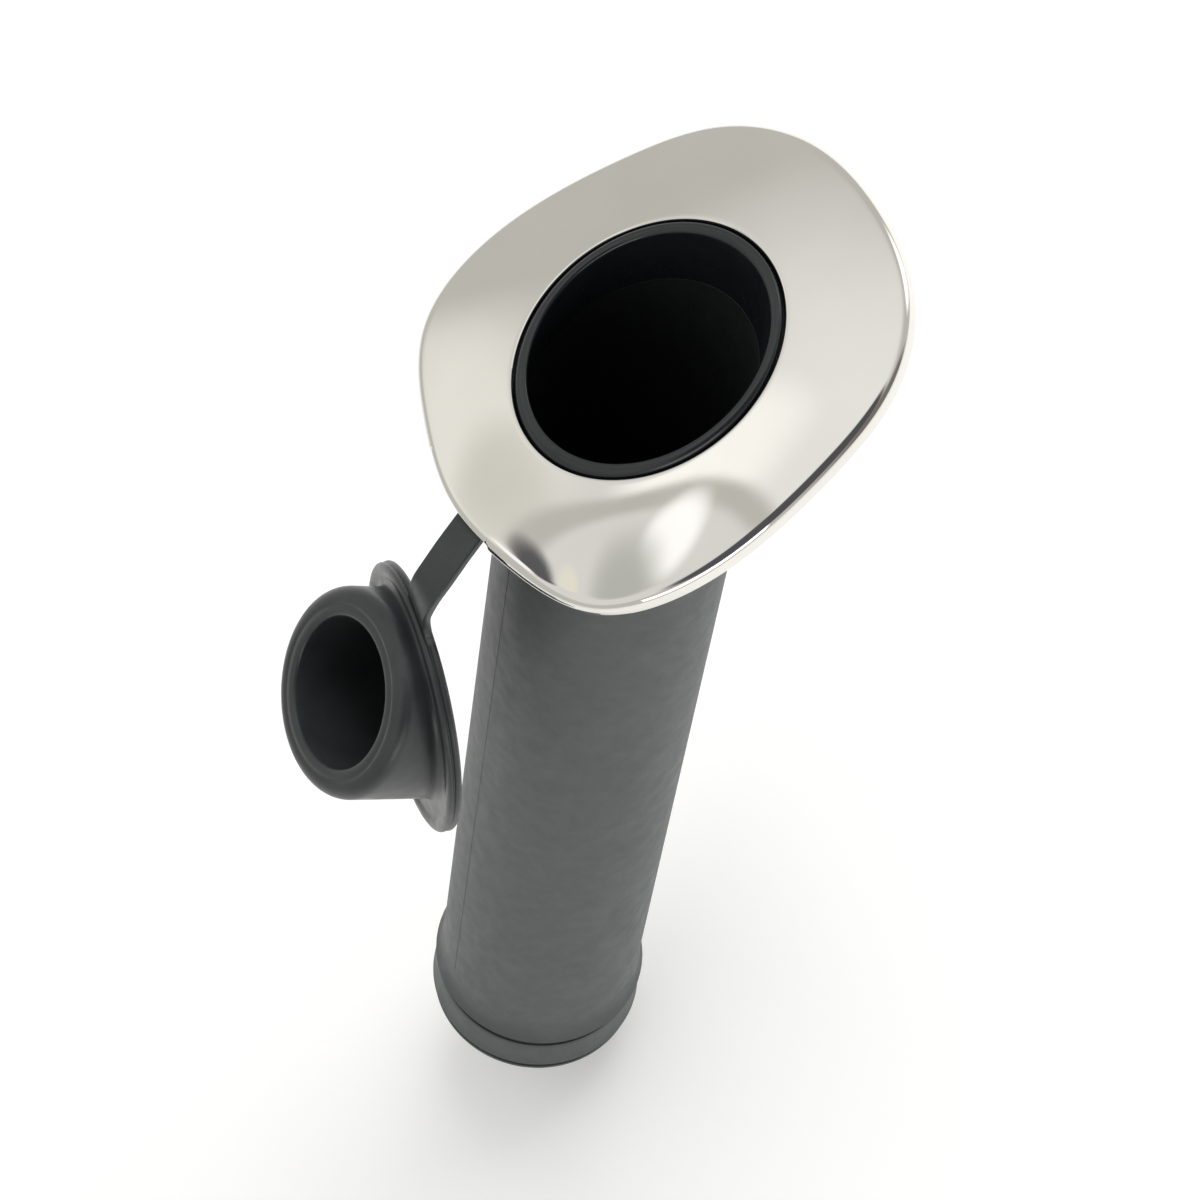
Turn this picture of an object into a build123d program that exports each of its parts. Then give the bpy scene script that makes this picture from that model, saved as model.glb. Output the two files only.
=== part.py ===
from build123d import *
import os
from math import atan2, cos, hypot, radians, sin

# Flush-mounted rod holder: a moulded tube with a flange for the deck, a pressed
# cover plate that clips over the flange and hides its screws, a mouth ring, an
# end cap, and a plug cap on a strap. Millimetres. The origin is the centre of the
# flange on the deck face, +Z points up out of the deck, and the tube leans to -X.

# Tube
tilt = 30.0
tube_radius = 23.0
bore_radius = 20.75
lip_height = 8.2
tube_end = 250.0
collar_edge = 242.6
collar_length = 8.0
collar_radius = 24.4
socket_radius = 22.2

# End cap
cap_start = 243.2
cap_neck_radius = 23.2
cap_edge = 255.4
cap_foot_radius = 23.7
cap_bottom = 257.6
cap_floor = 3.0
cap_gap = 0.15
drain_radius = 5.0
foot_edge = 0.5
foot_groove = 0.4
cup_inset = 0.5

# Mouth ring
ring_seat = 5.2
ring_bevel = 0.9
spigot_radius = 21.8
spigot_bottom = -4.0
spigot_gap = 0.1

# Cover plate
skirt_height = 1.5
roll_radius = 2.6
roll_turn = 72.0
crown_height = 8.16
crown_x = 24.0
crown_y = 20.0
sheet = 1.2
hole_gap = 0.4
notch_length = 8.0
notch_margin = 0.5

# Flange
flange_inset = 1.7
flange_thickness = 2.2
boss_height = 4.1
boss_margin = 2.2
pad_radius = 5.4
pad_height = 3.0
screw_pitch = 52.0
screw_hole = 4.5
screw_head = 8.5

# Tether ring, strap, and the slot that the strap leaves through
recess_depth = 2.4
recess_margin = 6.2
ring_gap = 0.9
ring_width = 4.5
strap_thickness = 1.8
strap_width = 7.3
strap_underside = 0.35
strap_pivot = -31.0
strap_lead = 21.05
slot_end = -50.0
slot_inner_width = 11.0
slot_outer_width = 24.0

# Plug cap, and where it hangs
lid_half_length = 30.0
lid_half_width = 26.0
lid_offset = 2.7
lid_thickness = 3.0
lid_top_edge = 1.4
lid_bottom_edge = 0.8
plug_radius = 20.3
plug_hollow = 14.45
plug_reach = 16.6
plug_edge = 2.8
root_width = 9.0
root_length = 4.0
root_inset = 0.9
root_underside = 0.6
hang_angle = 241.3
hang_lean = 9.7
hang_point = (-79.4, -8.7, -33.5)

# Clearance lengths: cutting bodies run on well past what they cut.
beyond = 60.0

os.makedirs("parts", exist_ok=True)

lean_x = sin(radians(tilt))
lean_z = cos(radians(tilt))
mouth = Vector(0, 0, lip_height)
up_tube = Vector(lean_x, 0, lean_z)
tube_axis = Axis(mouth, up_tube)
# Section through the tube's axis: x is the radius, and y runs up the tube from the lip.
tube_section = Plane(origin=mouth, x_dir=(lean_z, 0, -lean_x), z_dir=(0, -1, 0))
tube_half_length = tube_radius / lean_z
# Middle of the tether ring, where the tube's axis crosses its plane.
strap_middle = strap_underside + strap_thickness / 2
ring_centre = (strap_middle - lip_height) * lean_x / lean_z


def finish(part, name):
    part.label = name
    export_step(part, f"parts/{name}.step")


def sleeve(inner, outer, bottom, top):
    """A length of pipe on the tube's axis, cut off level at two heights."""
    with BuildPart() as pipe:
        with BuildSketch(tube_section):
            with Locations(((inner + outer) / 2, 0)):
                Rectangle(outer - inner, 2 * beyond)
        revolve(axis=tube_axis)
        split(bisect_by=Plane.XY.offset(top), keep=Keep.BOTTOM)
        split(bisect_by=Plane.XY.offset(bottom), keep=Keep.TOP)
    return pipe.part


# The flange's outline is a rounded rhombus, wider across its -X half.
half_outline = [
    (47.9, 0),
    (44.4, 18.4),
    (32.2, 32.2),
    (15.9, 38.3),
    (0, 41.2),
    (-17.2, 41.2),
    (-34.3, 34.2),
    (-43.3, 17.9),
    (-46.9, 0),
]
outline = half_outline + [(x, -y) for x, y in reversed(half_outline[1:-1])]


def level_curve(inset, share):
    """Points of the outline, moved in by inset, then on towards the crown's ellipse."""
    points = []
    for x, y in outline:
        angle = atan2(y, x)
        rim = hypot(x, y) - inset
        crown = crown_x * crown_y / hypot(crown_y * cos(angle), crown_x * sin(angle))
        radius = rim + (crown - rim) * share
        points.append((radius * cos(angle), radius * sin(angle)))
    return points


def outline_sketch(plane, inset, share=0.0):
    with BuildSketch(plane) as level:
        with BuildLine():
            Spline(level_curve(inset, share), periodic=True)
        make_face()
    return level.sketch


def dome(depth):
    """The solid under the cover's surface, or under the same surface depth inside it."""
    radius = roll_radius - depth
    roll = []
    for turn in (0, roll_turn / 3, roll_turn * 2 / 3, roll_turn):
        inset = depth + radius * (1 - cos(radians(turn)))
        roll.append((inset, 0.0, skirt_height + radius * sin(radians(turn))))
    inset, _, start = roll[-1]
    rise = crown_height - depth - start
    crown = []
    for share in (0.0, 0.25, 0.5, 0.75, 1.0):
        crown.append((inset, share, start + rise * (1.45 * share - 0.45 * share**2)))
    with BuildPart() as solid:
        add(outline_sketch(Plane.XY, depth))
        extrude(amount=skirt_height)
        for levels in (roll, crown):
            for inset, share, height in levels:
                add(outline_sketch(Plane.XY.offset(height), inset, share))
            loft()
    return solid.part


# Tube body: the flange for the deck with its screw holes, the tether's recess and
# slot, and the tube with its collar and the socket end that the end cap sits on.
with BuildPart() as tube_body:
    add(outline_sketch(Plane.XY, flange_inset))
    extrude(amount=flange_thickness)
    with BuildSketch(Plane.XY):
        with Locations((ring_centre, 0)):
            margin = recess_margin + boss_margin
            Ellipse(tube_half_length + margin, tube_radius + margin)
    extrude(amount=boss_height)
    with BuildSketch(Plane.XY):
        with GridLocations(screw_pitch, screw_pitch, 2, 2):
            Circle(pad_radius)
    extrude(amount=pad_height)
    with Locations(Plane.XY.offset(pad_height)):
        with GridLocations(screw_pitch, screw_pitch, 2, 2):
            CounterSinkHole(screw_hole / 2, screw_head / 2, depth=pad_height)
    with BuildSketch(Plane.XY):
        with Locations((ring_centre, 0)):
            Ellipse(tube_half_length + recess_margin, tube_radius + recess_margin)
        with BuildLine():
            Polyline(
                (strap_pivot, -slot_inner_width / 2),
                (slot_end, -slot_outer_width / 2),
                (slot_end, slot_outer_width / 2),
                (strap_pivot, slot_inner_width / 2),
                close=True,
            )
        make_face()
    extrude(amount=recess_depth, mode=Mode.SUBTRACT)
    with BuildSketch(tube_section):
        with BuildLine():
            Polyline(
                (socket_radius, -collar_edge),
                (socket_radius, -tube_end),
                (0, -tube_end),
                (0, beyond),
                (tube_radius, beyond),
                (tube_radius, collar_length - collar_edge),
            )
            Spline(
                (tube_radius, collar_length - collar_edge),
                (collar_radius, -collar_edge),
                tangents=[(0, -1), (0.55, -1)],
            )
            Line((collar_radius, -collar_edge), (socket_radius, -collar_edge))
        make_face()
    revolve(axis=tube_axis)
    split(bisect_by=Plane.XY.offset(ring_seat), keep=Keep.BOTTOM)
    with BuildSketch(tube_section):
        with Locations((bore_radius / 2, -tube_end / 2)):
            Rectangle(bore_radius, tube_end + 2 * beyond)
    revolve(axis=tube_axis, mode=Mode.SUBTRACT)
    rebate = sleeve(0, spigot_radius + spigot_gap, spigot_bottom - spigot_gap, lip_height)
    add(rebate, mode=Mode.SUBTRACT)
finish(tube_body.part, "tube_body")

# Mouth ring: a glossy collar with a bevelled bore, pushed into the top of the tube.
with BuildPart() as mouth_ring:
    add(sleeve(bore_radius, tube_radius, ring_seat, lip_height))
    chamfer(edges().group_by(Axis.Z)[-1].sort_by(SortBy.LENGTH)[0], ring_bevel)
    fillet(edges().group_by(Axis.Z)[-1].sort_by(SortBy.LENGTH)[-1], ring_bevel / 2)
    add(sleeve(bore_radius, spigot_radius, spigot_bottom, ring_seat))
finish(mouth_ring.part, "mouth_ring")

# Cover plate: pressed sheet over the flange, notched at -X over the strap's slot.
with BuildPart() as cover_plate:
    add(dome(0))
    add(dome(sheet), mode=Mode.SUBTRACT)
    add(sleeve(0, tube_radius + hole_gap, -1, lip_height + 1), mode=Mode.SUBTRACT)
    with BuildSketch(Plane.XY):
        with Locations((half_outline[-1][0], 0)):
            Rectangle(notch_length, slot_outer_width - 2 * notch_margin)
    extrude(amount=recess_depth, mode=Mode.SUBTRACT)
finish(cover_plate.part, "cover_plate")

# End cap: a cup pushed over the tube's end, flared to an edge, with a drain hole.
with BuildPart() as end_cap:
    with BuildSketch(tube_section):
        with BuildLine():
            Spline(
                (cap_neck_radius, -cap_start),
                (collar_radius, -cap_edge),
                tangents=[(0, -1), (0.3, -1)],
            )
            Polyline(
                (collar_radius, -cap_edge),
                (cap_foot_radius - foot_groove, -cap_edge - foot_groove),
                (cap_foot_radius, -cap_edge - 2 * foot_groove),
                (cap_foot_radius, foot_edge - cap_bottom),
                (cap_foot_radius - foot_edge, -cap_bottom),
                (drain_radius, -cap_bottom),
                (drain_radius, cap_floor - cap_bottom),
                (bore_radius - cup_inset, cap_floor - cap_bottom),
                (bore_radius - cup_inset, -tube_end - cap_gap),
                (socket_radius + cap_gap, -tube_end - cap_gap),
                (socket_radius + cap_gap, -cap_start),
                (cap_neck_radius, -cap_start),
            )
        make_face()
    revolve(axis=tube_axis)
finish(end_cap.part, "end_cap")

# Tether ring: lies flat in the recess round the tube, and carries the strap.
with BuildPart() as tether_ring:
    with BuildSketch(Plane.XY.offset(strap_underside)):
        with Locations((ring_centre, 0)):
            inner = (tube_half_length + ring_gap, tube_radius + ring_gap)
            Ellipse(inner[0] + ring_width, inner[1] + ring_width)
            Ellipse(*inner, mode=Mode.SUBTRACT)
    extrude(amount=strap_thickness)
finish(tether_ring.part, "tether_ring")

# Strap: one moulding with the ring and the plug cap. It is divided where it flexes.
# In its own plane, x runs out along the strap from the ring and y runs up.
strap_way = Vector(-1, 0, 0).rotate(Axis.Z, strap_lead)
strap_plane = Plane(
    origin=(strap_pivot, 0, 0), x_dir=strap_way, z_dir=strap_way.cross(Vector(0, 0, 1))
)
strap_route = [
    (6.4, strap_middle),
    (17.2, strap_middle),
    (24.5, 0.9),
    (31.0, -2.6),
    (35.35, -8.35),
]


def strap_corners(k):
    """Upper and lower corner of the strap at a point of its route, mitred."""
    x, y = strap_route[k]
    ways = []
    for a, b in ((k - 1, k), (k, k + 1)):
        if a >= 0 and b < len(strap_route):
            run = Vector(*strap_route[b]) - Vector(*strap_route[a])
            ways.append(run.normalized())
    mean = (ways[0] + ways[-1]).normalized()
    half = strap_thickness / 2 / mean.dot(ways[0])
    return (x - mean.Y * half, y + mean.X * half), (x + mean.Y * half, y - mean.X * half)


for k, name in enumerate(("strap_base", "strap_mid", "strap_tip", "strap_end")):
    near_top, near_bottom = strap_corners(k)
    far_top, far_bottom = strap_corners(k + 1)
    with BuildPart() as strap_piece:
        with BuildSketch(strap_plane):
            with BuildLine():
                Polyline(near_top, far_top, far_bottom, near_bottom, close=True)
            make_face()
        extrude(amount=strap_width / 2, both=True)
    finish(strap_piece.part, name)

# Plug cap: an oval lid with an oblique hollow plug, which fits the bore when the
# lid lies on the mouth. Its plane is the lid's underside, with the strap at -x.
lid_plane = Plane(
    origin=hang_point,
    x_dir=Vector(1, 0, 0).rotate(Axis.Y, -hang_angle).rotate(Axis.Z, -hang_lean),
    z_dir=Vector(0, 0, 1).rotate(Axis.Y, -hang_angle).rotate(Axis.Z, -hang_lean),
)
plug_centre = lid_plane.from_local_coords(Vector(-lean_x, 0, -lean_z) * plug_reach)
plug_up = lid_plane.from_local_coords(Vector(lean_x, 0, lean_z)) - lid_plane.origin
plug_plane = Plane(origin=plug_centre, x_dir=lid_plane.y_dir, z_dir=plug_up)

with BuildPart() as plug:
    with BuildSketch(plug_plane):
        Circle(plug_radius)
    extrude(amount=3 * plug_reach)
    fillet(faces().sort_by(Axis(plug_centre, plug_up))[0].edges(), plug_edge)
    with BuildSketch(plug_plane):
        Circle(plug_hollow)
    extrude(amount=3 * plug_reach, mode=Mode.SUBTRACT)
    split(bisect_by=lid_plane, keep=Keep.BOTTOM)

with BuildPart() as plug_cap:
    with BuildSketch(lid_plane):
        with Locations((lid_offset, 0)):
            Ellipse(lid_half_length, lid_half_width)
    extrude(amount=lid_thickness)
    rims = edges().sort_by(Axis(lid_plane.origin, lid_plane.z_dir))
    fillet(rims[-1], lid_top_edge)
    fillet(rims[0], lid_bottom_edge)
    with BuildSketch(lid_plane.offset(root_underside)):
        with Locations((lid_offset - lid_half_length + root_inset, 0)):
            Rectangle(root_length, root_width)
    extrude(amount=strap_thickness)
    add(plug.part)
finish(plug_cap.part, "plug_cap")
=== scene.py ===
import math

import bmesh
import bpy
import numpy as np
from mathutils import Matrix, Vector


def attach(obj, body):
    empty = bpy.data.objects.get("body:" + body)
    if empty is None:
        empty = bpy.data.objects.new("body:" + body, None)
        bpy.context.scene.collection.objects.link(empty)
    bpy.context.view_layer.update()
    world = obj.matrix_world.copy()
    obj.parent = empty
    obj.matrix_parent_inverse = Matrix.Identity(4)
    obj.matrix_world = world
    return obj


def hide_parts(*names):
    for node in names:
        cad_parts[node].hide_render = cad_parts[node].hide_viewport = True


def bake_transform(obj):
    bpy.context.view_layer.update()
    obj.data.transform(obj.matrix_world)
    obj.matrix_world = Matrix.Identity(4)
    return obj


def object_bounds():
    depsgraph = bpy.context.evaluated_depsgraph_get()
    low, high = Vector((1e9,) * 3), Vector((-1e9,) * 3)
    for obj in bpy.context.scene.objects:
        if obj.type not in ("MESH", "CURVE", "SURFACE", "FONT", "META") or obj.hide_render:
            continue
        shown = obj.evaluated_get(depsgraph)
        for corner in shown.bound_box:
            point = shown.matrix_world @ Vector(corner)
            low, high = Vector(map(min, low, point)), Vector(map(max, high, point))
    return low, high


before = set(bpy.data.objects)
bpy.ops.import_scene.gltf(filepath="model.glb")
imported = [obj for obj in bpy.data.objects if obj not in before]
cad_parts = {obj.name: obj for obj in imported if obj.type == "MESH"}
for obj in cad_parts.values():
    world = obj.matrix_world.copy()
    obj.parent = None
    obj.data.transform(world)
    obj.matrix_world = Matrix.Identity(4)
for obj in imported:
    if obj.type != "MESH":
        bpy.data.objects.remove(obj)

cad_low, cad_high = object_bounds()
MM = 0.001

# Shapes are in millimetres, in the row frame, until a mesh is made. Camera, lamps and floor are in metres.
LIP = 8.2
TILT = math.radians(30)
EX = np.array([math.cos(TILT), 0, -math.sin(TILT)])
EY = np.array([0, 1, 0])
UP_TUBE = np.array([math.sin(TILT), 0, math.cos(TILT)])
MOUTH = np.array([0, 0, LIP])


# ---------------------------------------------------------------- materials

# The sockets of a Mix node that mixes colours: the first colour, the second, and the result.
FIRST_COLOUR, SECOND_COLOUR, MIXED_COLOUR = 6, 7, 2


class Look:
    """A material being built: nodes and links by short names."""

    def __init__(self, name):
        self.mat = bpy.data.materials.new(name)
        self.mat.use_nodes = True
        self.tree = self.mat.node_tree
        self.shader = self.tree.nodes["Principled BSDF"]
        self.where = self.node("ShaderNodeTexCoord").outputs["Object"]

    def node(self, kind, **values):
        made = self.tree.nodes.new(kind)
        for key, value in values.items():
            if hasattr(made, key):
                setattr(made, key, value)
            else:
                made.inputs[key.replace("_", " ")].default_value = value
        return made

    def link(self, out, into):
        self.tree.links.new(out, into)

    def noise(self, size_mm, detail, roughness=0.6):
        made = self.node("ShaderNodeTexNoise", Scale=1 / (size_mm * MM), Detail=detail, Roughness=roughness)
        self.link(self.where, made.inputs["Vector"])
        return made.outputs["Fac"]

    def spread(self, fac, low, high, start=0.3, end=0.7):
        made = self.node("ShaderNodeMapRange", From_Min=start, From_Max=end, To_Min=low, To_Max=high)
        self.link(fac, made.inputs["Value"])
        return made.outputs["Result"]

    def blend_colours(self, fac, first, second):
        made = self.node("ShaderNodeMix", data_type="RGBA")
        self.link(fac, made.inputs["Factor"])
        for slot, value in ((FIRST_COLOUR, first), (SECOND_COLOUR, second)):
            if isinstance(value, tuple):
                made.inputs[slot].default_value = (*value, 1)
            else:
                self.link(value, made.inputs[slot])
        return made.outputs[MIXED_COLOUR]

    def bump(self, height, depth_mm, strength=1.0, normal=None):
        made = self.node("ShaderNodeBump", Strength=strength, Distance=depth_mm * MM)
        self.link(height, made.inputs["Height"])
        if normal is not None:
            self.link(normal, made.inputs["Normal"])
        return made.outputs["Normal"]


# The size of the mottling, of the patches of gloss and of the pale specks, and how pale the specks are.
CLOUD_MM, PATCH_MM, SPECK_MM = 9.0, 3.5, 0.45
PALE_GAIN, PALE_LIFT, PALE_SHARE = 1.5, 0.012, 0.35
GLOSSIER, ROUGHER, COAT_ROUGH = 0.05, 0.07, 0.12


def moulded(name, colour, second, rough, grain_mm, grain_depth, coat=0.0):
    """Moulded plastic or rubber: mottled colour, uneven gloss, and a fine spark-eroded grain."""
    look = Look(name)
    cloud = look.noise(CLOUD_MM, 4.0)
    speck = look.noise(SPECK_MM, 2.0)
    tone = look.blend_colours(look.spread(cloud, 0, 1), colour, second)
    pale = tuple(c * PALE_GAIN + PALE_LIFT for c in colour)
    tone = look.blend_colours(look.spread(speck, 0, PALE_SHARE, 0.5, 0.8), tone, pale)
    look.link(tone, look.shader.inputs["Base Color"])
    patches = look.noise(PATCH_MM, 5.0)
    look.link(look.spread(patches, rough - GLOSSIER, rough + ROUGHER), look.shader.inputs["Roughness"])
    look.link(look.bump(look.noise(grain_mm, 3.0, 0.7), grain_depth), look.shader.inputs["Normal"])
    look.shader.inputs["Coat Weight"].default_value = coat
    look.shader.inputs["Coat Roughness"].default_value = COAT_ROUGH
    return look


# Radii about the tube's axis, in the thickness of its wall.
DARK_WITHIN, LIT_BEYOND = 21.95, 22.1


def tube_look():
    """Dark grey nylon, with the bore darker than the outside, as little light reaches it."""
    look = moulded("tube_nylon", (0.060, 0.070, 0.071), (0.071, 0.081, 0.082), 0.5, 0.28, 0.02)
    old = look.shader.inputs["Base Color"].links[0].from_socket
    offset = look.node("ShaderNodeVectorMath", operation="SUBTRACT")
    offset.inputs[1].default_value = tuple(MOUTH * MM)
    look.link(look.where, offset.inputs[0])
    across = look.node("ShaderNodeVectorMath", operation="CROSS_PRODUCT")
    across.inputs[1].default_value = tuple(UP_TUBE)
    look.link(offset.outputs[0], across.inputs[0])
    radius = look.node("ShaderNodeVectorMath", operation="LENGTH")
    look.link(across.outputs[0], radius.inputs[0])
    outside = look.spread(radius.outputs["Value"], 0, 1, DARK_WITHIN * MM, LIT_BEYOND * MM)
    look.link(look.blend_colours(outside, (0.011, 0.012, 0.013), old), look.shader.inputs["Base Color"])
    return look.mat


STEEL_TINT_MM, STEEL_PATCH_MM, WAVE_MM, HAIR_MM = 30.0, 6.0, 26.0, 0.12
HAIR_STRETCH, HAIR_ANGLE = 0.03, 0.6


def steel_look():
    """Mirror-polished stainless: faint waviness from pressing, and hairlines from the polishing wheel."""
    look = Look("mirror_steel")
    cast = look.spread(look.noise(STEEL_TINT_MM, 2.0), 0, 1)
    tint = look.blend_colours(cast, (0.83, 0.81, 0.775), (0.78, 0.76, 0.725))
    look.link(tint, look.shader.inputs["Base Color"])
    look.shader.inputs["Metallic"].default_value = 1.0
    look.link(look.spread(look.noise(STEEL_PATCH_MM, 5.0), 0.02, 0.06), look.shader.inputs["Roughness"])
    wave = look.bump(look.noise(WAVE_MM, 1.0, 0.4), 0.35, 0.15)
    stretch = look.node("ShaderNodeMapping")
    stretch.inputs["Scale"].default_value = (1, HAIR_STRETCH, 1)
    stretch.inputs["Rotation"].default_value = (0, 0, HAIR_ANGLE)
    look.link(look.where, stretch.inputs["Vector"])
    hair = look.node("ShaderNodeTexNoise", Scale=1 / (HAIR_MM * MM), Detail=2.0)
    look.link(stretch.outputs["Vector"], hair.inputs["Vector"])
    look.link(look.bump(hair.outputs["Fac"], 0.0012, 0.5, wave), look.shader.inputs["Normal"])
    return look.mat


STEEL = steel_look()
NYLON = tube_look()
# Painted shade: a nylon much darker than the tube's, for the end cap's neck under the collar and its groove
# above the foot, where the collar and the foot shadow them.
SHADE = moulded("painted_shade_nylon", (0.012, 0.013, 0.014), (0.02, 0.021, 0.022), 0.5, 0.28, 0.02).mat
GLOSS = moulded("gloss_nylon", (0.007, 0.009, 0.011), (0.011, 0.013, 0.015), 0.22, 0.6, 0.006, coat=0.15).mat
SOFT = moulded("soft_pvc", (0.021, 0.024, 0.026), (0.030, 0.034, 0.036), 0.33, 0.4, 0.012).mat


# ---------------------------------------------------------------- mesh helpers

def finish_piece(name, points, faces, body, material, sharp=50, replaces=()):
    mesh = bpy.data.meshes.new(name)
    mesh.from_pydata([tuple(p) for p in np.asarray(points) * MM], [], faces)
    work = bmesh.new()
    work.from_mesh(mesh)
    bmesh.ops.recalc_face_normals(work, faces=work.faces)
    work.to_mesh(mesh)
    work.free()
    mesh.polygons.foreach_set("use_smooth", [True] * len(mesh.polygons))
    mesh.set_sharp_from_angle(angle=math.radians(sharp))
    mesh.materials.append(material)
    obj = bpy.data.objects.new(name, mesh)
    bpy.context.scene.collection.objects.link(obj)
    if body:
        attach(obj, body)
    if replaces:
        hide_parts(*replaces)
    return obj


def rings(rows, loop):
    """Faces between rings of points. With loop, the last joins the first. If not, a face fills each end."""
    count, around = len(rows), len(rows[0])
    faces = []
    for i in range(count if loop else count - 1):
        a, b = i * around, (i + 1) % count * around
        for j in range(around):
            k = (j + 1) % around
            faces.append((a + j, a + k, b + k, b + j))
    if not loop:
        faces.append(tuple(range(around)))
        faces.append(tuple(range((count - 1) * around, count * around)))
    return np.concatenate(rows), faces


def ease(t):
    t = np.clip(t, 0, 1)
    return t * t * (3 - 2 * t)


PATH_SAMPLES = 4000


def smooth_path(knots, step):
    """Evenly spaced points on a smooth open curve through the knots, and the distance along at each knot."""
    p = np.array(knots, float)
    at = np.concatenate([[0], np.cumsum(np.linalg.norm(np.diff(p, axis=0), axis=1))])
    slope = np.gradient(p, at, axis=0, edge_order=1)
    fine = np.linspace(0, at[-1], PATH_SAMPLES)
    i = np.clip(np.searchsorted(at, fine, side="right") - 1, 0, len(p) - 2)
    h = (at[i + 1] - at[i])[:, None]
    t = ((fine - at[i]) / h[:, 0])[:, None]
    curve = ((1 + 2 * t) * (1 - t) ** 2 * p[i] + t * (1 - t) ** 2 * h * slope[i]
             + t * t * (3 - 2 * t) * p[i + 1] + t * t * (t - 1) * h * slope[i + 1])
    run = np.concatenate([[0], np.cumsum(np.linalg.norm(np.diff(curve, axis=0), axis=1))])
    stops = np.arange(0, run[-1], step)
    points = np.stack([np.interp(stops, run, curve[:, k]) for k in range(3)], axis=1)
    return points, np.interp(at, fine, run)


# ---------------------------------------------------------------- cover plate

# Points on the cover's outline, from +X round by +Y to -X. The other half mirrors them.
HALF_OUTLINE = [(47.9, 0), (44.4, 18.4), (32.2, 32.2), (15.9, 38.3), (0, 41.2),
                (-17.2, 41.2), (-34.3, 34.2), (-43.3, 17.9), (-46.9, 0)]
# The height of the upright skirt, and the radius and angle of the rolled edge above it.
SKIRT, ROLL, ROLL_TURN = 1.5, 2.6, math.radians(72)
CROWN_HEIGHT, CROWN_X, CROWN_Y, CROWN_BULGE = 8.16, 24.0, 20.0, 0.45
SHEET = 1.2
# The hole's radius, how far out its rounded edge begins, and its rows: extra radius and depth.
COVER_HOLE, HOLE_ROUND = 23.4, 0.45
HOLE_EDGE = [(0.2, 0.05), (0.05, 0.2), (0.0, 0.4)]
# The gap under the skirt, and the small bevel on its lower edge.
RIM_GAP, BEVEL_IN, BEVEL_UP = 0.05, 0.12, 0.15
NOTCH_HALF, NOTCH_TOP, NOTCH_RAMP = 11.5, 3.1, 0.6
AROUND = 480
SKIRT_ROWS, CROWN_ROWS, CROWN_ROWS_INSIDE, SKIRT_ROWS_INSIDE = 17, 27, 9, 7


def closed_spline(points, steps):
    """A closed curve through points, with smooth curvature: the periodic cubic spline on chord length."""
    p = np.array(points, float)
    n = len(p)
    h = np.linalg.norm(np.roll(p, -1, 0) - p, axis=1)
    system = np.zeros((n, n))
    for i in range(n):
        system[i, i - 1] += h[i - 1]
        system[i, i] += 2 * (h[i - 1] + h[i])
        system[i, (i + 1) % n] += h[i]
    slope = (np.roll(p, -1, 0) - p) / h[:, None]
    bend = np.linalg.solve(system, 6 * (slope - np.roll(slope, 1, 0)))
    t = np.linspace(0, 1, steps, endpoint=False)[:, None]
    out = []
    for i in range(n):
        k = (i + 1) % n
        out.append((1 - t) * p[i] + t * p[k] + h[i] ** 2 / 6
                   * (((1 - t) ** 3 - (1 - t)) * bend[i] + (t ** 3 - t) * bend[k]))
    return np.concatenate(out)


ring_angle = np.linspace(0, 2 * math.pi, AROUND, endpoint=False)
outline = closed_spline(HALF_OUTLINE + [(x, -y) for x, y in reversed(HALF_OUTLINE[1:-1])], 200)
rim_radius = np.interp(ring_angle, np.arctan2(outline[:, 1], outline[:, 0]),
                       np.hypot(outline[:, 0], outline[:, 1]), period=2 * math.pi)
crown_radius = CROWN_X * CROWN_Y / np.hypot(CROWN_Y * np.cos(ring_angle), CROWN_X * np.sin(ring_angle))


def polar(radius, height):
    across, along = radius * np.cos(ring_angle), radius * np.sin(ring_angle)
    return np.stack([across, along, height * np.ones(AROUND)], axis=1)


def wall_point(depth, distance):
    """The skirt and rolled edge, at a distance along the skin from the deck and a depth inside it."""
    radius = ROLL - depth
    turn = np.clip((distance - SKIRT) / ROLL, 0, ROLL_TURN)
    inset = depth + radius * (1 - np.cos(turn))
    return polar(rim_radius - inset, np.minimum(distance, SKIRT) + radius * np.sin(turn))


def crown_point(depth, share):
    """The domed top, from the rolled edge where share is 0 in to an oval within the mouth where it is 1."""
    radius = ROLL - depth
    inset = depth + radius * (1 - math.cos(ROLL_TURN))
    start = SKIRT + radius * math.sin(ROLL_TURN)
    rise = CROWN_HEIGHT - depth - start
    rim = rim_radius - inset
    climb = (1 + CROWN_BULGE) * share - CROWN_BULGE * share ** 2
    return polar(rim + (crown_radius - rim) * share, start + rise * climb)


FARTHEST_SHARE, HALVINGS = 1.6, 30


def share_at_hole(depth, radius):
    """How far in the crown reaches, at each angle, before it meets a cylinder round the tube's axis."""
    low, high = np.zeros(AROUND), np.full(AROUND, FARTHEST_SHARE)
    for _ in range(HALVINGS):
        middle = (low + high) / 2
        offset = np.cross(crown_point(depth, middle) - MOUTH, UP_TUBE)
        inside = np.linalg.norm(offset, axis=1) < radius
        high = np.where(inside, middle, high)
        low = np.where(inside, low, middle)
    return low


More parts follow.
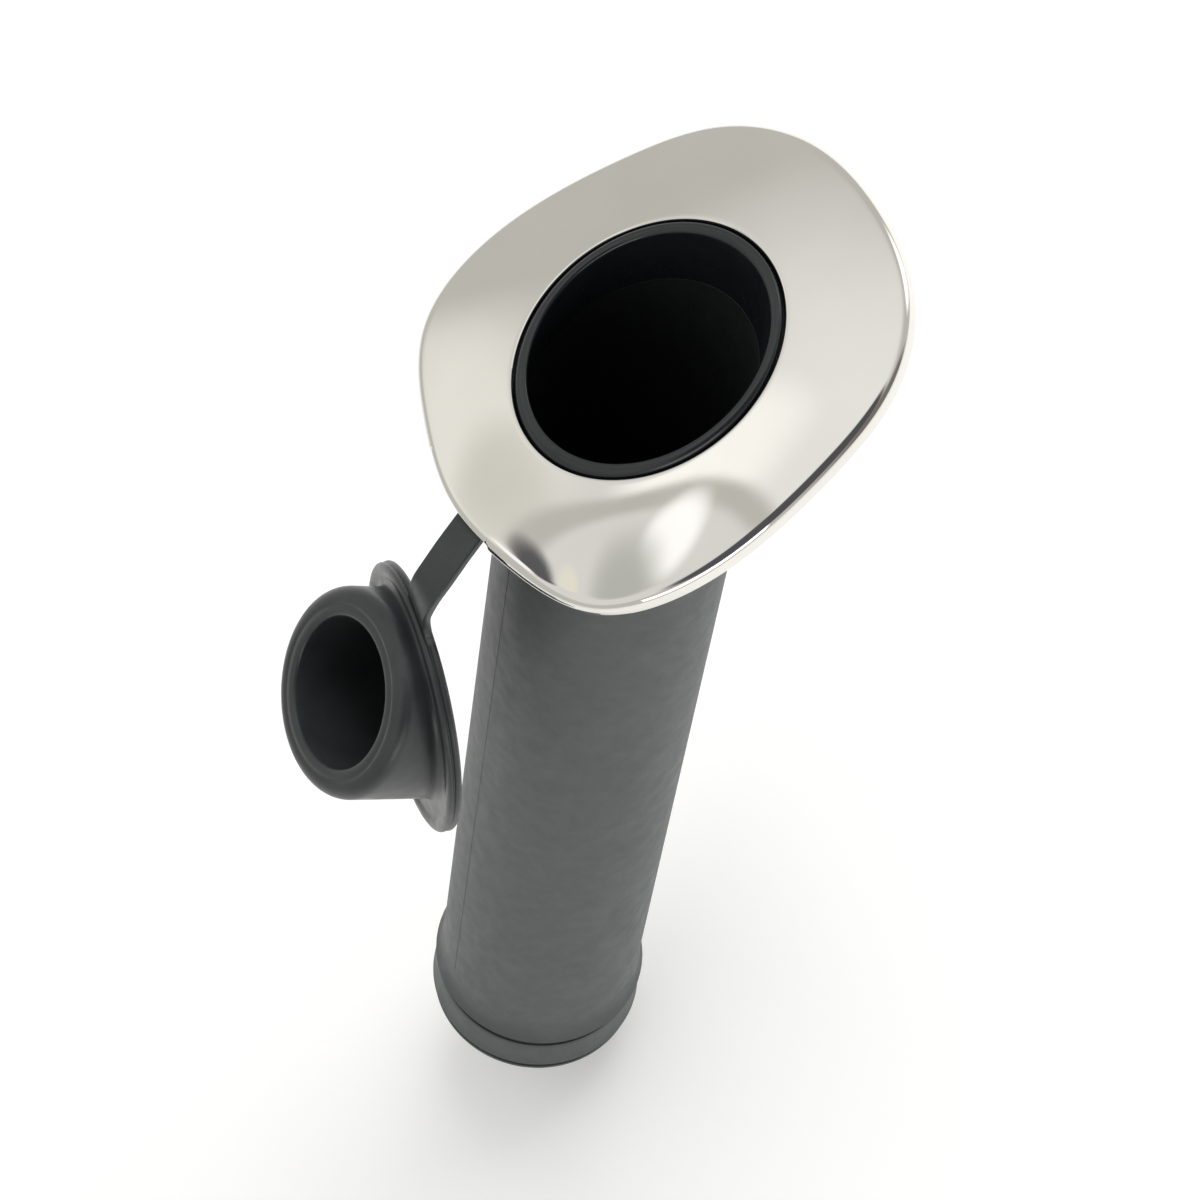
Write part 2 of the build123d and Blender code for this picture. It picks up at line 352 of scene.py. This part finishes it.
def make_cover():
    """The pressed sheet: up the skirt, over the crown, round the hole's edge, and back down inside."""
    wall = SKIRT + ROLL * ROLL_TURN
    notch_start = SKIRT + ROLL * math.asin((NOTCH_TOP - SKIRT) / ROLL)
    side = np.abs(rim_radius * np.sin(ring_angle))
    in_notch = np.where(np.cos(ring_angle) < 0, 1 - ease((side - NOTCH_HALF) / NOTCH_RAMP), 0)
    bottom = RIM_GAP + (notch_start - RIM_GAP) * in_notch
    rows = [wall_point(BEVEL_IN, bottom), wall_point(0, bottom + BEVEL_UP)]
    for k in np.linspace(0, 1, SKIRT_ROWS)[1:]:
        rows.append(wall_point(0, bottom + BEVEL_UP + (wall - bottom - BEVEL_UP) * k))
    edge = share_at_hole(0, COVER_HOLE + HOLE_ROUND)
    for k in np.linspace(0, 1, CROWN_ROWS)[1:]:
        rows.append(crown_point(0, edge * k))
    for extra, depth in HOLE_EDGE:
        rows.append(crown_point(depth, share_at_hole(depth, COVER_HOLE + extra)))
    edge = share_at_hole(SHEET, COVER_HOLE)
    for k in np.linspace(1, 0, CROWN_ROWS_INSIDE):
        rows.append(crown_point(SHEET, edge * k))
    for k in np.linspace(1, 0, SKIRT_ROWS_INSIDE)[1:]:
        rows.append(wall_point(SHEET, bottom + (wall - bottom) * k))
    points, faces = rings(rows, loop=True)
    finish_piece("cover", points, faces, "holder", STEEL, replaces=["cover_plate"])


# ---------------------------------------------------------------- pieces turned about the tube's axis

TURNED_AROUND = 192


def turned(radius, height, level):
    """A ring about the tube's axis. Height is along the axis from the lip or, if level, above the deck."""
    turn = np.linspace(0, 2 * math.pi, TURNED_AROUND, endpoint=False)
    along = (height - LIP + radius * np.cos(turn) * math.sin(TILT)) / math.cos(TILT) if level else height
    along = np.broadcast_to(along, turn.shape)
    outward = np.cos(turn)[:, None] * EX + np.sin(turn)[:, None] * EY
    return MOUTH + along[:, None] * UP_TUBE + radius * outward


# Radius and height above the deck: up the bore, over the rounded lip, down the outside and the spigot.
RING_PROFILE = [(20.75, -4), (20.75, 2), (20.75, 7.3), (20.8, 7.85), (21.0, 8.2), (21.35, 8.42), (21.8, 8.45),
                (22.25, 8.3), (22.65, 7.95), (22.9, 7.5), (23.0, 7.0), (23.0, 5.2), (21.8, 5.2), (21.8, -4)]


def make_mouth_ring():
    points, faces = rings([turned(r, z, True) for r, z in RING_PROFILE], loop=True)
    finish_piece("lip_ring", points, faces, "holder", GLOSS, replaces=["mouth_ring"])


# Radius and depth down the tube from the lip: the flared outside, the recess and foot, and the inside.
CUP_FLARE = [(22.35, 246.4), (22.9, 246.3), (23.3, 246.35), (23.45, 246.6), (23.55, 247.4), (23.7, 249.2),
             (23.95, 251.6), (24.2, 253.3), (24.42, 254.1), (24.44, 254.35), (24.25, 254.5)]
CUP_FOOT = [(23.6, 254.6), (23.2, 254.7), (23.2, 256.4), (23.6, 256.5), (23.9, 256.6), (23.98, 256.8),
            (23.95, 257.3), (23.4, 257.6)]
CUP_INSIDE = [(5.0, 257.6), (5.0, 254.6), (20.25, 254.6), (20.25, 250.15), (22.35, 250.15)]
CUP_NECK = [(22.4, 243.2), (22.85, 243.2), (22.95, 243.3), (22.95, 246.45), (22.4, 246.45)]
CUP_GROOVE = [(23.1, 254.5), (23.6, 254.55), (23.62, 254.65), (23.62, 256.5), (23.55, 256.6), (23.1, 256.6)]


def make_end_cap():
    """The flared cup on the tube's end, a dark neck under the collar, and a dark groove above the foot: their
    darkness is painted shade.
    """
    parts = [("end_cup", CUP_FLARE + CUP_FOOT + CUP_INSIDE, NYLON, ["end_cap"]),
             # The neck and the groove take the dark nylon that paints their shade.
             ("cup_neck", CUP_NECK, SHADE, ()),
             ("cup_groove", CUP_GROOVE, SHADE, ())]
    for name, profile, material, replaced in parts:
        points, faces = rings([turned(r, -depth, False) for r, depth in profile], loop=True)
        finish_piece(name, points, faces, "holder", material, sharp=35, replaces=replaced)


MOULD_LINE_TOP, MOULD_LINE_END, MOULD_LINE_ROWS = -15, -233.5, 60
# Radius, and distance to the side.
MOULD_LINE_SECTION = [(22.9, -0.2), (23.02, -0.17), (23.07, -0.08), (23.07, 0.08), (23.02, 0.17), (22.9, 0.2)]


def make_tube_details():
    """The thin raised line where the halves of the tube's mould met, down the side that the strap is on."""
    rows = []
    for along in np.linspace(MOULD_LINE_TOP, MOULD_LINE_END, MOULD_LINE_ROWS):
        centre = MOUTH + along * UP_TUBE
        rows.append(np.array([centre - r * EX + y * EY for r, y in MOULD_LINE_SECTION]))
    points, faces = rings(rows, loop=False)
    finish_piece("mould_line", points, faces, "holder", NYLON)


# ---------------------------------------------------------------- plug cap

# Where the cap hangs at rest: the point and turn that take the lid's own frame to the row frame.
HANG_POINT = np.array([-79.4, -8.7, -33.5])
HANG_LEAN, HANG_ANGLE = math.radians(-9.7), math.radians(-241.3)
HANG_TURN = np.array(Matrix.Rotation(HANG_LEAN, 3, "Z") @ Matrix.Rotation(HANG_ANGLE, 3, "Y"))
LID_CENTRE, LID_X, LID_Y, LID_TOP = 2.7, 30.0, 26.0, 3.0
PLUG, PLUG_END, PLUG_EDGE, HOLLOW = 20.3, -16.6, 2.8, 14.45
CAP_AROUND = 160
cap_turn = np.linspace(0, 2 * math.pi, CAP_AROUND, endpoint=False)


def from_lid(points):
    """Points from the lid's own frame to the row frame, with the cap at rest."""
    return np.asarray(points) @ HANG_TURN.T + HANG_POINT


def lid_row(inset, height):
    return np.stack([LID_CENTRE + (LID_X - inset) * np.cos(cap_turn), (LID_Y - inset) * np.sin(cap_turn),
                     np.full(CAP_AROUND, height)], axis=1)


def plug_row(radius, along=None, level=None, mix=0.0):
    """A ring about the plug's axis: square to it, or level with the lid, or part way between the two."""
    tilted = 0 if level is None else (level + radius * np.cos(cap_turn) * math.sin(TILT)) / math.cos(TILT)
    if along is None:
        place = tilted
    elif level is None:
        place = np.full(CAP_AROUND, along)
    else:
        place = tilted * (1 - mix) + along * mix
    outward = np.cos(cap_turn)[:, None] * EX + np.sin(cap_turn)[:, None] * EY
    return place[:, None] * UP_TUBE + radius * outward


# Inset from the lid's oval, and height above its top edge, over the domed outer face.
LID_DOME = [(LID_Y - 1.5, 0.35), (14, 0.3), (6, 0.16)]
# Inset from the lid's oval, and height in the lid's own frame: round the rim, past its groove, and under.
LID_EDGE = [(2.2, 3.0), (1.2, 2.97), (0.6, 2.85), (0.2, 2.6), (0.0, 2.25), (0.02, 1.85), (0.25, 1.6),
            (0.45, 1.45), (0.45, 1.25), (0.2, 1.12), (0.05, 0.9), (0.1, 0.6), (0.35, 0.3), (0.8, 0.08),
            (1.4, 0.0), (2.0, 0.08), (2.5, 0.28), (2.8, 0.5), (3.2, 0.6)]
# Extra radius, and height in the lid's own frame, round the fillet where the plug meets the lid.
PLUG_ROOT = [(1.6, 0.55), (0.9, 0.45), (0.45, 0.15), (0.15, -0.35), (0.0, -1.0)]
PLUG_ROOT_END = PLUG_ROOT[-1][1]
# Radius, and depth in from the plug's end face: its shallow ring groove, then the edge of the hollow.
PLUG_FACE = [(17.1, 0.0), (16.95, 0.09), (16.4, 0.09), (16.25, 0.0), (15.3, 0.02), (14.85, 0.15),
             (14.55, 0.45), (HOLLOW, 0.9), (HOLLOW, 2.5)]
HOLLOW_START, HOLLOW_TAPER, HOLLOW_END = 2.5, 0.5, 0.6
# Radius, and height in the lid's own frame, over the hollow's floor.
HOLLOW_FLOOR = [(HOLLOW - 0.9, 0.95), (HOLLOW - 2.0, 1.0), (3.0, 1.0)]


def make_cap():
    """The lid from its top, down round its rim, along the plug, and up inside the plug's hollow."""
    rows = [lid_row(inset, LID_TOP + rise) for inset, rise in LID_DOME]
    rows += [lid_row(inset, height) for inset, height in LID_EDGE]
    rows += [plug_row(PLUG + extra, level=level) for extra, level in PLUG_ROOT]
    straight = PLUG_END + PLUG_EDGE
    for mix in np.linspace(0, 1, 12)[1:]:
        rows.append(plug_row(PLUG, along=straight, level=PLUG_ROOT_END, mix=mix))
    for turn in np.linspace(0, math.pi / 2, 10)[1:]:
        inset, drop = PLUG_EDGE * (1 - math.cos(turn)), PLUG_EDGE * math.sin(turn)
        rows.append(plug_row(PLUG - inset, along=straight - drop))
    rows += [plug_row(radius, along=PLUG_END + depth) for radius, depth in PLUG_FACE]
    deep = PLUG_END + HOLLOW_START
    for mix in np.linspace(0, 1, 8)[1:]:
        rows.append(plug_row(HOLLOW - HOLLOW_TAPER * mix, along=deep, level=HOLLOW_END, mix=1 - mix))
    rows += [plug_row(radius, level=level) for radius, level in HOLLOW_FLOOR]
    points, faces = rings([from_lid(row) for row in rows], loop=False)
    finish_piece("cap", points, faces, "plug_cap", SOFT, replaces=["plug_cap"])


# ---------------------------------------------------------------- strap

# The strap starts from strap_yaw's axis, and leads off at an angle from -X.
STRAP_ORIGIN = np.array([-31.0, 0, 0])
STRAP_LEAD = math.radians(21.0525)
STRAP_WAY = np.array([-math.cos(STRAP_LEAD), -math.sin(STRAP_LEAD), 0])
STRAP_SIDE = np.cross([0, 0, 1], STRAP_WAY)
STRAP_WIDTH, STRAP_THICK, STRAP_CORNER = 7.3, 1.8, 0.42
# The spacing of the sections along the strap.
STEP = 0.2
# Over its last length the strap thins, and widens more on one side than on the other.
ROOT_LENGTH, ROOT_THINNING = 5.5, 0.2
FLARE_LEFT, FLARE_RIGHT, FLARE_CURVE, FLARE_END = 0.4, 2.6, 2.2, 1.4
# The strap's middle: distance out from its origin, height above the deck face, and distance to the side.
STRAP_ROUTE = [(5.2, 1.25, 0), (9, 1.25, 0), (13, 1.25, 0), (16.8, 1.3, 0), (21, 1.35, 0), (25.5, 0.6, -0.3),
               (29.8, -1.2, -1.2), (32.3, -4.6, -2.6)]
# Then into the lid's edge, in the lid's own frame.
STRAP_ROOT = [(-28.8, 3.4, 1.6), (-26.9, 3.7, 1.8), (-24.4, 4.0, 1.8)]


def on_strap(out, up, sideways):
    return STRAP_ORIGIN + STRAP_WAY * out + STRAP_SIDE * sideways + np.array([0, 0, up])


def strap_section(left, right, thick):
    """A flat strap's outline, with rounded edges, reaching left and right of its middle."""
    corner = min(STRAP_CORNER, thick * 0.4)
    out = []
    for x, y, start in ((right, 1, 0), (-left, 1, 90), (-left, -1, 180), (right, -1, 270)):
        for turn in (0, 22.5, 45, 67.5, 90):
            a = math.radians(start + turn)
            out.append((x - math.copysign(corner, x) + corner * math.cos(a),
                        y * (thick / 2 - corner) + corner * math.sin(a)))
    return np.array(out)


def run_of(distance):
    """The number of steps along the path nearest to a distance."""
    return round(distance / STEP)


def make_strap():
    """One smooth flat band from the tether ring to the lid, cut between the soft strap's stand-in joints."""
    knots = [on_strap(*p) for p in STRAP_ROUTE] + [from_lid(p) for p in STRAP_ROOT]
    path, stations = smooth_path(knots, STEP)
    lid_edge = stations[len(STRAP_ROUTE)]
    run = np.arange(len(path)) * STEP
    ahead = np.gradient(path, axis=0)
    ahead /= np.linalg.norm(ahead, axis=1)[:, None]
    turned_by = ease((run - stations[4]) / (lid_edge - stations[4]))[:, None]
    side = STRAP_SIDE * (1 - turned_by) - HANG_TURN[:, 1] * turned_by
    side -= (side * ahead).sum(1)[:, None] * ahead
    side /= np.linalg.norm(side, axis=1)[:, None]
    over = np.cross(ahead, side)
    rows = []
    for k, point in enumerate(path):
        near_lid = (run[k] - lid_edge) / ROOT_LENGTH + 1
        flare = np.clip(near_lid, 0, FLARE_END) ** FLARE_CURVE
        left = STRAP_WIDTH / 2 + FLARE_LEFT * flare
        right = STRAP_WIDTH / 2 + FLARE_RIGHT * flare
        section = strap_section(left, right, STRAP_THICK - ROOT_THINNING * ease(near_lid))
        rows.append(point + section[:, :1] * side[k] + section[:, 1:] * over[k])
    # The cuts are at the route's third point, on both sides of its fifth, and just past its seventh.
    cuts = [0, run_of(stations[2]), run_of(stations[4] - 0.6), run_of(stations[4] + 3.6),
            run_of(stations[6] + 0.2), len(rows) - 1]
    # Name, the bodies it bends between, where the bend begins and ends on it, and the CAD node it replaces.
    # Where no end is given, the bend ends with the piece.
    pieces = [("strap_root", "holder", "strap_base", 0.4, 7.0, ()),
              ("strap_bend", "strap_base", "strap_mid", 3.6, None, ("strap_base",)),
              ("strap_arch", "strap_mid", "strap_tip", 0.0, None, ("strap_mid",)),
              ("strap_run", "strap_tip", "strap_end", 0.2, None, ("strap_tip",)),
              ("strap_joint", "strap_end", "plug_cap", 0.0, 6.4, ("strap_end",))]
    for k, (name, near_body, far_body, begin, end, replaced) in enumerate(pieces):
        a, b = cuts[k], cuts[k + 1]
        points, faces = rings(rows[a:b + 1], loop=False)
        piece = finish_piece(name, points, faces, None, SOFT, replaces=replaced)
        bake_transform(piece)


# ---------------------------------------------------------------- camera and light

def look_at(obj, place, aim, up):
    """Put a camera or lamp at a place, looking at a point, with up at the top of its view."""
    ahead = (Vector(aim) - Vector(place)).normalized()
    right = ahead.cross(Vector(up)).normalized()
    top = right.cross(ahead)
    turn = Matrix((right, top, -ahead)).transposed()
    obj.matrix_world = Matrix.Translation(Vector(place)) @ turn.to_4x4()


# Sensor and lens are in millimetres, and places in metres.
SENSOR_WIDTH, LENS = 36, 108.9
CAMERA_PLACE, CAMERA_AIM = (0.06492, -0.31262, 0.57706), (-0.04349, 0, -0.06615)
CAMERA_UP, LAMP_UP = (0.5646, 0.7758, 0.2819), (0, 0.1, 1)


def make_camera():
    data = bpy.data.cameras.new("camera")
    data.sensor_width = SENSOR_WIDTH
    data.lens = LENS
    camera = bpy.data.objects.new("camera", data)
    bpy.context.scene.collection.objects.link(camera)
    look_at(camera, CAMERA_PLACE, CAMERA_AIM, CAMERA_UP)
    bpy.context.scene.camera = camera


def softbox(name, place, aim, size, power):
    data = bpy.data.lights.new(name, "AREA")
    data.shape = "RECTANGLE"
    data.size, data.size_y = size
    data.energy = power
    lamp = bpy.data.objects.new(name, data)
    bpy.context.scene.collection.objects.link(lamp)
    look_at(lamp, place, aim, LAMP_UP)
    return lamp


def make_sky(zones, base, strength):
    """A soft studio all round, of one base colour with zones laid over it in order."""
    world = bpy.data.worlds.new("studio")
    bpy.context.scene.world = world
    world.use_nodes = True
    tree = world.node_tree
    back = tree.nodes["Background"]
    way = tree.nodes.new("ShaderNodeTexCoord").outputs["Generated"]
    colour = None
    for direction, inner, outer, tint in zones:
        dot = tree.nodes.new("ShaderNodeVectorMath")
        dot.operation = "DOT_PRODUCT"
        dot.inputs[1].default_value = tuple(Vector(direction).normalized())
        tree.links.new(way, dot.inputs[0])
        fall = tree.nodes.new("ShaderNodeMapRange")
        fall.interpolation_type = "SMOOTHSTEP"
        fall.inputs["From Min"].default_value = math.cos(math.radians(outer))
        fall.inputs["From Max"].default_value = math.cos(math.radians(inner))
        tree.links.new(dot.outputs["Value"], fall.inputs["Value"])
        mix = tree.nodes.new("ShaderNodeMix")
        mix.data_type = "RGBA"
        tree.links.new(fall.outputs["Result"], mix.inputs["Factor"])
        if colour is None:
            mix.inputs[FIRST_COLOUR].default_value = (*base, 1)
        else:
            tree.links.new(colour, mix.inputs[FIRST_COLOUR])
        mix.inputs[SECOND_COLOUR].default_value = (*tint, 1)
        colour = mix.outputs[MIXED_COLOUR]
    tree.links.new(colour, back.inputs["Color"])
    back.inputs["Strength"].default_value = strength


# The cover mirrors the edges of two zones about this direction as an arc below the mouth.
WALL_SIDE = (-0.54, -0.23, 0.81)
# A zone's direction, the angles from it in degrees where it is full and where it ends, and its colour.
ZONES = [((0.15, -0.1, 0.98), 10, 52, (1.0, 1.0, 0.98)),
         ((-0.5, 0.52, 0.69), 4, 24, (1.0, 0.99, 0.94)),
         ((-0.13, 0.1, 0.98), 5, 15, (1.25, 1.24, 1.2)),
         ((-0.5, 0.42, 0.76), 1, 12, (0.78, 0.77, 0.72)),
         (WALL_SIDE, 32, 33.5, (0.62, 0.61, 0.57)),
         (WALL_SIDE, 29.5, 31, (0.84, 0.84, 0.82)),
         ((-0.2, 0.03, 0.98), 3, 6, (1.3, 1.3, 1.3)),
         ((-0.36, 0.03, 0.93), 2, 10, (0.58, 0.59, 0.56)),
         ((-0.5, 0.2, 0.84), 1.5, 3, (0.95, 0.93, 0.82)),
         ((-0.57, 0.27, 0.78), 2, 4, (0.12, 0.12, 0.13)),
         ((-0.62, 0.3, 0.73), 1.5, 3, (1.2, 1.2, 1.2)),
         ((0.1, -0.7, 0.7), 22, 31, (0.1, 0.1, 0.11)),
         ((0.6, -0.78, 0.1), 16, 30, (0.22, 0.2, 0.18)),
         ((0.97, 0.1, 0.2), 8, 20, (1.8, 1.8, 1.8))]
STUDIO_BASE, STUDIO_STRENGTH = (0.63, 0.62, 0.585), 0.95
FLOOR_HALF, FLOOR_GAP, FLOOR_TONE, FLOOR_ROUGH, FLOOR_GLOW = 3.0, 0.012, 0.95, 0.8, 0.12


def make_studio():
    make_sky(ZONES, STUDIO_BASE, STUDIO_STRENGTH)
    key = softbox("key", place=(0.9, 0.3, 1.1), aim=(0, 0, 0), size=(0.9, 0.9), power=14)
    key.visible_glossy = False
    softbox("front strip", place=(-0.35, -1.2, 0.25), aim=(-0.05, 0, -0.1), size=(0.9, 0.35), power=2)
    bpy.context.scene.view_settings.view_transform = "Standard"
    make_floor()


def make_floor():
    half, height = FLOOR_HALF, cad_low.z - FLOOR_GAP
    corners = [(-half, -half, height), (half, -half, height), (half, half, height), (-half, half, height)]
    mesh = bpy.data.meshes.new("floor")
    mesh.from_pydata(corners, [], [(0, 1, 2, 3)])
    floor = bpy.data.objects.new("floor", mesh)
    bpy.context.scene.collection.objects.link(floor)
    mat = bpy.data.materials.new("floor")
    mat.use_nodes = True
    shader = mat.node_tree.nodes["Principled BSDF"]
    shader.inputs["Base Color"].default_value = (FLOOR_TONE, FLOOR_TONE, FLOOR_TONE, 1)
    shader.inputs["Roughness"].default_value = FLOOR_ROUGH
    shader.inputs["Emission Color"].default_value = (1, 1, 1, 1)
    shader.inputs["Emission Strength"].default_value = FLOOR_GLOW
    mesh.materials.append(mat)


make_cover()
make_mouth_ring()
make_end_cap()
make_tube_details()
make_cap()
make_strap()
for node, material in (("tube_body", NYLON), ("tether_ring", SOFT)):
    for material_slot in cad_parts[node].material_slots:
        material_slot.material = material
make_camera()
make_studio()
